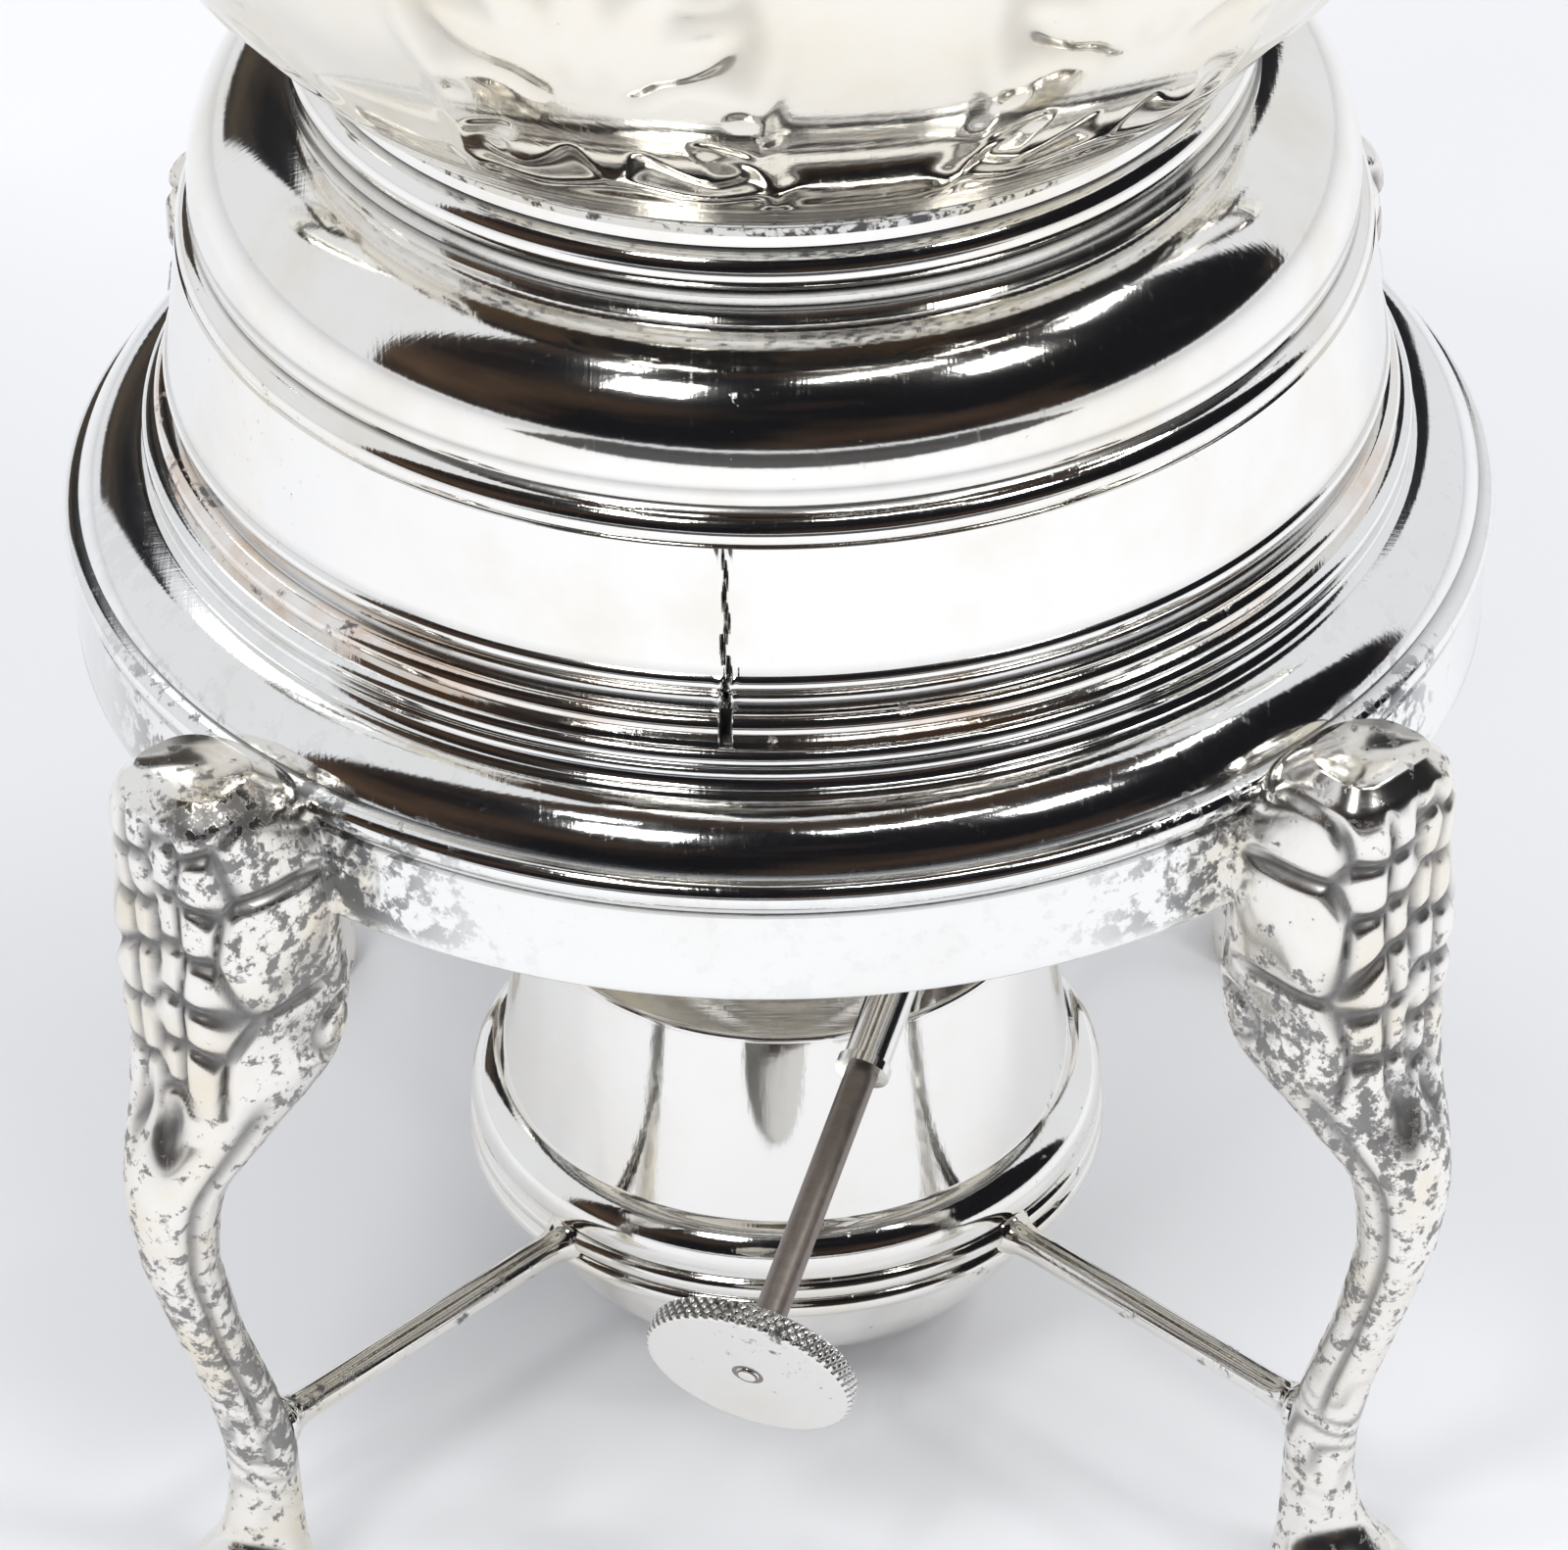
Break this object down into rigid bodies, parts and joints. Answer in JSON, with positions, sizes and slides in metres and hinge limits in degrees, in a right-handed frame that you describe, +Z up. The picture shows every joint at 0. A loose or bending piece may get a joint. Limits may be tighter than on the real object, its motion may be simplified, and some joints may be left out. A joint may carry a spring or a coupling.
{
  "type": "samovar",
  "caption": "Footed hot-water urn with a globular body, domed lid, side handles and tap, lifted off a four-legged stand that carries a round spirit burner with a wheel-raised flame sleeve.",
  "frame": {"origin": "on the floor, on the upright axis of the stand and urn", "axes": "+Z up; the burner's knob faces -Y, the tap faces +Y, the handles are at +X and -X"},
  "size_m": [0.247, 0.2111, 0.3902],
  "materials": {
    "silver_stand": "polished silver plate with grey tarnish",
    "silver_cast": "cast and silver plated, dark in the recesses",
    "silver_rod": "polished silver plate",
    "silver_burner": "polished silver plate",
    "silver_knob": "satin silver plate, knurled edge",
    "steel_spindle": "plain, darkened",
    "cotton_wick": "woven cotton",
    "silver_base": "polished silver plate with fine scratches",
    "silver_body": "polished, chased silver plate",
    "black_insulator": "polished black",
    "silver_handle": "polished silver plate",
    "silver_tap": "polished silver plate",
    "brass_fittings": "bare brass"
  },
  "bodies": {
    "stand": {"stand_ring": "silver_stand", "holder_ring": "silver_rod", "leg_rear_right": "silver_cast", "leg_rear_left": "silver_cast", "leg_front_left": "silver_cast", "leg_front_right": "silver_cast", "arm_rear_right": "silver_rod", "arm_rear_left": "silver_rod", "arm_front_left": "silver_rod", "arm_front_right": "silver_rod"},
    "burner": {"burner_reservoir": "silver_burner", "burner_cover": "silver_burner", "wick_tube": "silver_burner", "wick": "cotton_wick", "spindle_ferrule": "silver_burner", "spindle_bearing": "silver_burner"},
    "flame_sleeve": {"flame_sleeve": "silver_burner"},
    "wick_knob": {"spindle": "steel_spindle", "wick_knob": "silver_knob"},
    "urn": {"urn_base_flange": "silver_base", "urn_base_band": "silver_base", "urn_foot": "silver_base", "body_collar": "silver_base", "vessel_lower": "silver_body", "vessel_upper": "silver_body", "vessel_neck": "silver_body", "handle_sockets_left": "silver_handle", "handle_sockets_right": "silver_handle", "handle_insulators_left": "black_insulator", "handle_insulators_right": "black_insulator", "handle_grip_left": "silver_handle", "handle_grip_right": "silver_handle", "tap_rosette": "silver_tap", "tap_body": "silver_tap", "tap_shank_nut": "brass_fittings"},
    "tap_plug": {"tap_plug": "silver_tap", "tap_washer": "brass_fittings", "tap_nut": "brass_fittings", "tap_key": "silver_tap"},
    "lid": {"lid": "silver_body", "finial": "silver_body", "finial_insulator": "black_insulator", "finial_nut": "brass_fittings"}
  },
  "joints": [
    {"name": "urn_lift", "type": "slide", "parent": "stand", "child": "urn", "axis": [0, 0, 1], "range_m": [0, 0.06]},
    {"name": "lid_lift", "type": "slide", "parent": "urn", "child": "lid", "axis": [0, 0, 1], "range_m": [0, 0.05]},
    {"name": "tap_turn", "type": "hinge", "parent": "urn", "child": "tap_plug", "pos_m": [0, 0.10105, 0.21358], "axis": [0, 0, 1], "range_deg": [0, 90]},
    {"name": "burner_lift", "type": "slide", "parent": "stand", "child": "burner", "axis": [0, 0, 1], "range_m": [0, 0.03]},
    {"name": "knob_turn", "type": "hinge", "parent": "burner", "child": "wick_knob", "pos_m": [0.02006, -0.00774, 0.0716], "axis": [0.3324, 0.8613, 0.3843], "range_deg": [0, 150]},
    {"name": "sleeve_slide", "type": "slide", "parent": "burner", "child": "flame_sleeve", "axis": [0, 0, 1], "range_m": [0, 0.008]}
  ],
  "couplings": [
    {"joint": "sleeve_slide", "follows": "knob_turn", "m_per_rad": 0.0030466}
  ]
}
